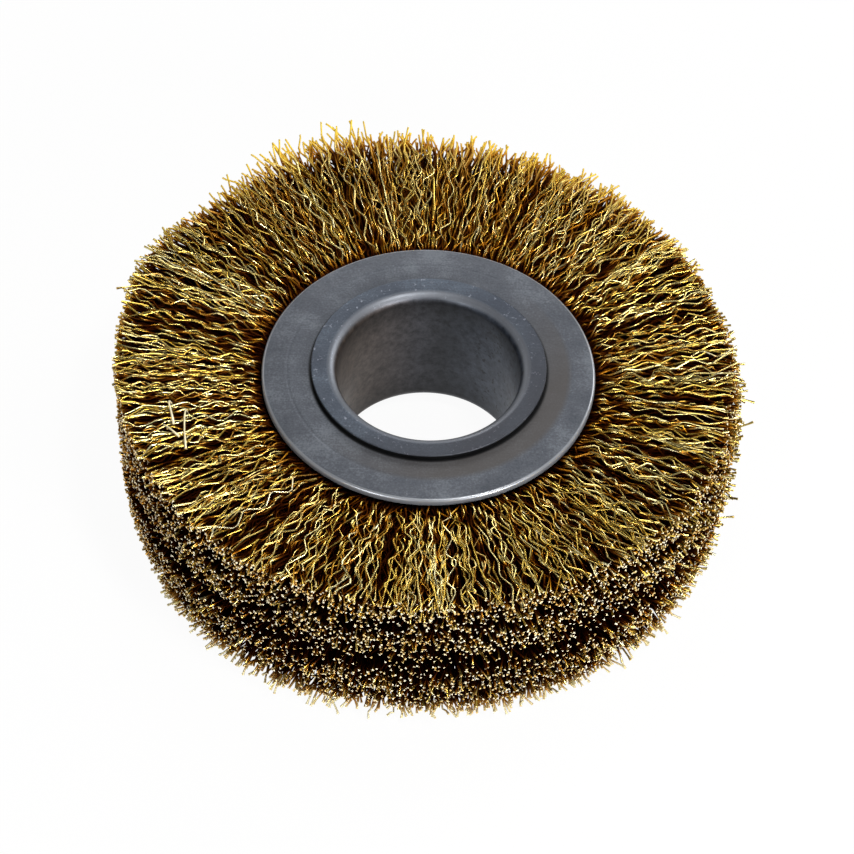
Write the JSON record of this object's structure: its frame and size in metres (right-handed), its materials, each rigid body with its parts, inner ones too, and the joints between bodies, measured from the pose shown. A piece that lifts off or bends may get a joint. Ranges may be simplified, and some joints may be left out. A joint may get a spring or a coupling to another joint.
{
  "type": "wire wheel brush",
  "caption": "Wide wheel brush of crimped brass-coated steel wire, held between two steel face plates on a rolled hub tube with a large arbor bore.",
  "frame": {"origin": "middle of the hub: on the arbor axis, halfway between the two clamp faces", "axes": "+Z along the arbor axis, out of the front plate; the wheel lies on its rear side"},
  "size_m": [0.1548, 0.1548, 0.0424],
  "materials": {
    "hub_steel": "satin cold-rolled steel, blue-grey, lightly scuffed",
    "plate_steel": "satin stamped steel with fine mottling and a worn bright edge",
    "ring_steel": "plain drawn steel wire",
    "brassed_wire": "crimped steel wire with a thin brass coat, bright on its bends and cut tips"
  },
  "bodies": {
    "root": {"hub_tube": "hub_steel", "front_plate": "plate_steel", "rear_plate": "plate_steel", "front_retaining_ring": "ring_steel", "rear_retaining_ring": "ring_steel", "front_wire_row": "brassed_wire", "rear_wire_row": "brassed_wire"}
  },
  "joints": []
}
